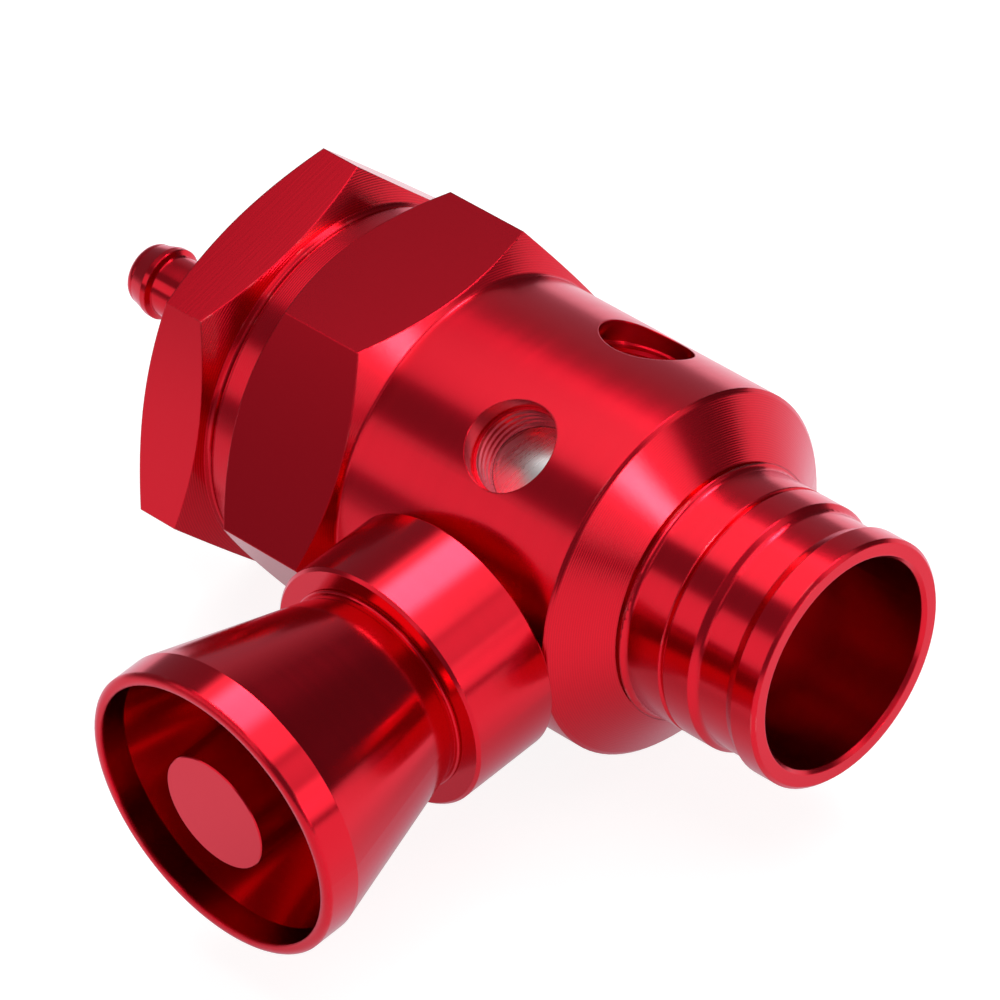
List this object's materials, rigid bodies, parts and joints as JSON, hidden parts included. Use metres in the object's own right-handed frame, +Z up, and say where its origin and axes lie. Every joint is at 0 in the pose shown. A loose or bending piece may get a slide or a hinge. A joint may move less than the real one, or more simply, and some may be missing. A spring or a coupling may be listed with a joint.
{
  "type": "blow off valve",
  "caption": "Piston blow off valve in red anodised aluminium: hose spigot, vented barrel, hexagon body and cap, vacuum nipple, and a trumpet horn on the side.",
  "frame": {"origin": "on the valve's axis, in the middle of the hose band at the inlet mouth", "axes": "+X along the valve's axis out of the inlet, -Y along the horn out of its mouth, +Z up"},
  "size_m": [0.091, 0.0724, 0.042],
  "materials": {
    "red_anodised": "glossy red anodising over turned and brushed aluminium",
    "turned_aluminium": "bare, finely turned",
    "black_rubber": "matt",
    "spring_steel": "bright drawn"
  },
  "bodies": {
    "housing": {"valve_body": "red_anodised", "end_cap": "red_anodised", "cap_oring": "black_rubber", "vacuum_nipple": "red_anodised", "piston_spring": "spring_steel", "spring_shim": "spring_steel", "outlet_collar": "red_anodised", "collar_oring": "black_rubber", "horn": "red_anodised", "horn_core": "red_anodised"},
    "piston": {"piston": "turned_aluminium", "piston_oring_front": "black_rubber", "piston_oring_rear": "black_rubber", "seat_seal": "black_rubber"}
  },
  "joints": [
    {"name": "piston_slide", "type": "slide", "parent": "housing", "child": "piston", "axis": [-1, 0, 0], "range_m": [0, 0.011], "stiffness_N_per_m": 1200, "springref_m": -0.012, "deforming": ["piston_spring"]}
  ]
}
